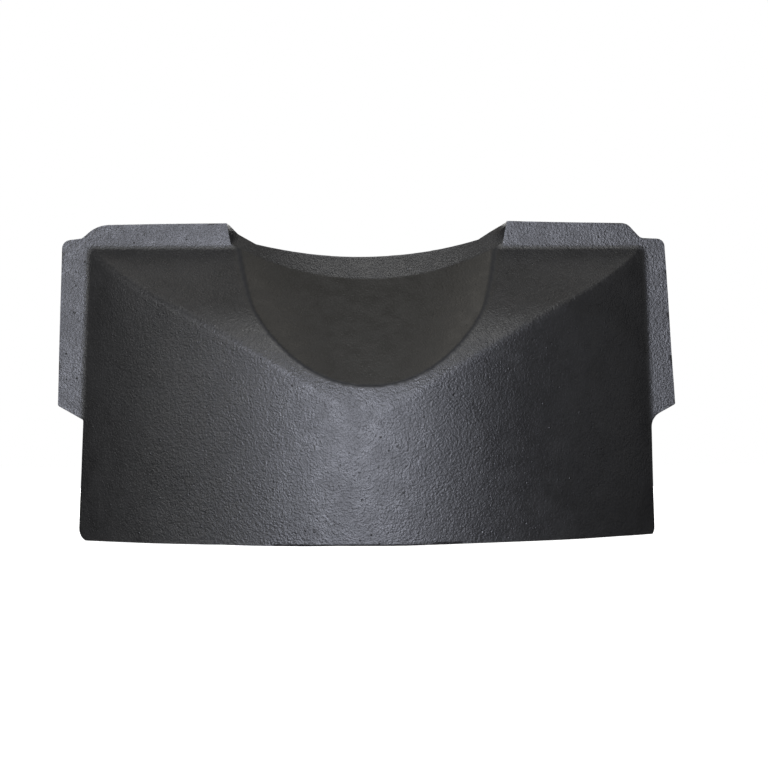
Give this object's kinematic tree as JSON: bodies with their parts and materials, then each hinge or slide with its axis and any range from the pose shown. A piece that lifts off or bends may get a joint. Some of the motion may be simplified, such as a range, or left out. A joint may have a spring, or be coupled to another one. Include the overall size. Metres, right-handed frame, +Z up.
{
  "type": "stove throat plate",
  "caption": "Hollow cast-iron throat plate with a curved hood, a sloping roof with a flue trough, a notched top flange and side lugs that rest in a stove.",
  "frame": {"origin": "middle of the footprint, at the height of the bottom edge", "axes": "+Z up, +X along the width, -Y towards the side that the hood bulges to, +Y towards the flat back of the flange"},
  "size_m": [0.3426, 0.074, 0.177],
  "materials": {
    "painted_iron": "matt black paint over a sand-cast surface"
  },
  "bodies": {
    "root": {"throat_plate": "painted_iron"}
  },
  "joints": []
}
